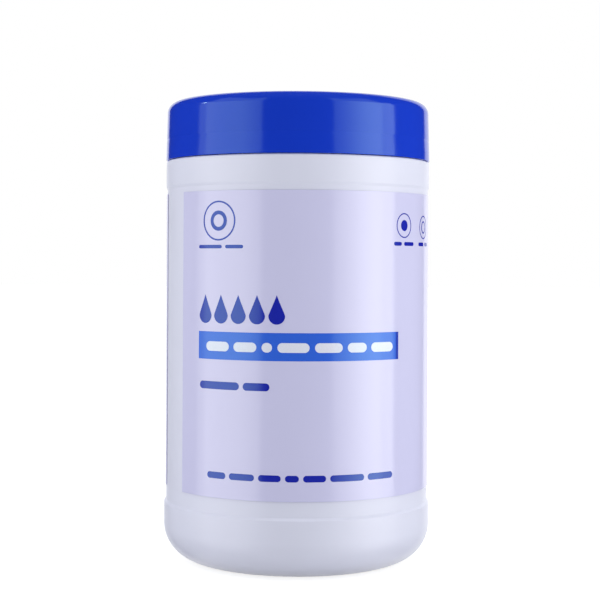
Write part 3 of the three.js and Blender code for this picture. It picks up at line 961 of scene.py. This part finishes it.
def make_floor():
    """A white floor that keeps the object's shadow and is clear from below."""
    half = FLOOR_HALF
    corners = [(-half, -half, 0), (half, -half, 0), (half, half, 0), (-half, half, 0)]
    floor = make_object("floor", corners, [(0, 1, 2, 3)])
    material = bpy.data.materials.new("white_floor")
    material.use_nodes = True
    tree = material.node_tree
    tree.nodes.clear()
    diffuse = tree.nodes.new("ShaderNodeBsdfDiffuse")
    diffuse.inputs["Color"].default_value = (FLOOR_SHADED, FLOOR_SHADED, FLOOR_SHADED, 1)
    bounce = tree.nodes.new("ShaderNodeBsdfDiffuse")
    bounce.inputs["Color"].default_value = (FLOOR_BOUNCE, FLOOR_BOUNCE, FLOOR_BOUNCE, 1)
    glow = tree.nodes.new("ShaderNodeEmission")
    glow.inputs["Strength"].default_value = FLOOR_GLOW
    both = tree.nodes.new("ShaderNodeAddShader")
    tree.links.new(diffuse.outputs[0], both.inputs[0])
    tree.links.new(glow.outputs[0], both.inputs[1])
    output = tree.nodes.new("ShaderNodeOutputMaterial")
    upper = tree.nodes.new("ShaderNodeMixShader")
    light_path_mix(tree, bounce.outputs[0], both.outputs[0], upper.inputs[1])
    below = tree.nodes.new("ShaderNodeBsdfTransparent")
    sides = tree.nodes.new("ShaderNodeNewGeometry")
    tree.links.new(sides.outputs["Backfacing"], upper.inputs["Fac"])
    tree.links.new(below.outputs[0], upper.inputs[2])
    tree.links.new(upper.outputs[0], output.inputs["Surface"])
    floor.data.materials.append(material)
    floor.visible_glossy = False


def fade_edge(light, bright, dark):
    """Light that falls off smoothly across its width, from the bright place to the dark one."""
    light.use_nodes = True
    tree = light.node_tree
    place = tree.nodes.new("ShaderNodeNewGeometry")
    split = tree.nodes.new("ShaderNodeSeparateXYZ")
    span = tree.nodes.new("ShaderNodeMapRange")
    span.interpolation_type = "SMOOTHSTEP"
    span.inputs["From Min"].default_value = dark
    span.inputs["From Max"].default_value = bright
    tree.links.new(place.outputs["Parametric"], split.inputs[0])
    tree.links.new(split.outputs["X"], span.inputs["Value"])
    tree.links.new(span.outputs["Result"], tree.nodes["Emission"].inputs["Strength"])


def hang(light, place, turn):
    obj = bpy.data.objects.new(light.name, light)
    bpy.context.scene.collection.objects.link(obj)
    obj.location = place
    obj.rotation_euler = turn
    obj.visible_camera = False


def around(azimuth, distance):
    """The (x, y) place at this azimuth."""
    return (distance * math.sin(azimuth), -distance * math.cos(azimuth))


def make_softbox(name, azimuth, width, power, bright, dark):
    """A tall light that is brighter towards one side, as fade_edge says."""
    light = bpy.data.lights.new(name, "AREA")
    light.shape = "RECTANGLE"
    light.color = LAMP_TINT
    light.size = width
    light.size_y = SOFTBOX_HIGH - SOFTBOX_LOW
    light.energy = power
    fade_edge(light, bright, dark)
    angle = math.radians(azimuth)
    place = (*around(angle, SOFTBOX_DISTANCE), (SOFTBOX_LOW + SOFTBOX_HIGH) / 2)
    hang(light, place, (math.radians(90), 0, angle))


def make_glint_lamp():
    """A small lamp on the left, which leaves a glint on the closure's rounded edge."""
    light = bpy.data.lights.new("glint_lamp", "AREA")
    light.shape = "DISK"
    light.size = GLINT_SIZE
    light.energy = GLINT_POWER
    aim = Vector((0, 0, CAP_HIGH.z)) - Vector(GLINT_PLACE)
    hang(light, GLINT_PLACE, aim.to_track_quat("-Z", "Y").to_euler())


def make_flag(name, azimuth, width):
    """A standing black card, as in a product studio."""
    half = width / 2
    angle = math.radians(azimuth)
    x, y = around(angle, CARD_DISTANCE)
    side = (math.cos(angle) * half, math.sin(angle) * half)
    corners = [
        (x - side[0], y - side[1], CARD_LOW),
        (x + side[0], y + side[1], CARD_LOW),
        (x + side[0], y + side[1], CARD_HIGH),
        (x - side[0], y - side[1], CARD_HIGH),
    ]
    show_to_gloss_only(make_object(name, corners, [(0, 1, 2, 3)]), CARD_GREY)


def show_to_gloss_only(card, grey):
    """A matt card that only reflections see."""
    material, _ = new_material(card.name + "_matt", (grey, grey, grey), 0.9)
    card.data.materials.append(material)
    card.visible_camera = False
    card.visible_diffuse = False
    card.visible_shadow = False
    card.visible_transmission = False


def make_ceiling():
    """A dark card overhead, which keeps the closure's rounded edge deep in colour."""
    half = CEILING_HALF
    z = CARD_HIGH
    corners = [(-half, -half, z), (-half, half, z), (half, half, z), (half, -half, z)]
    show_to_gloss_only(make_object("ceiling", corners, [(0, 1, 2, 3)]), CEILING_GREY)


def make_camera():
    data = bpy.data.cameras.new("camera")
    data.lens = CAMERA_LENS
    data.sensor_width = 36
    data.sensor_fit = "HORIZONTAL"
    data.shift_x, data.shift_y = CAMERA_SHIFT
    data.clip_start = 0.05
    camera = bpy.data.objects.new("camera", data)
    bpy.context.scene.collection.objects.link(camera)
    camera.location = CAMERA_PLACE
    camera.rotation_euler = (math.radians(90), CAMERA_ROLL, 0)
    bpy.context.scene.camera = camera


bpy.context.scene.view_settings.view_transform = "Standard"
make_camera()
make_world()
make_floor()
make_softbox("softbox_left", azimuth=-58.3, width=0.576, power=1.05, bright=0.6, dark=1.0)
make_softbox("softbox_right", azimuth=58.5, width=0.505, power=2.1, bright=0.6, dark=0.0)
make_flag("flag_front", azimuth=0, width=1.4)
make_flag("flag_left", azimuth=-119, width=1.62)
make_flag("flag_right", azimuth=110, width=1.62)
make_ceiling()
make_glint_lamp()
make_canister()
make_label()
make_print()
make_closure()
make_lid()
dress_inner_pieces()
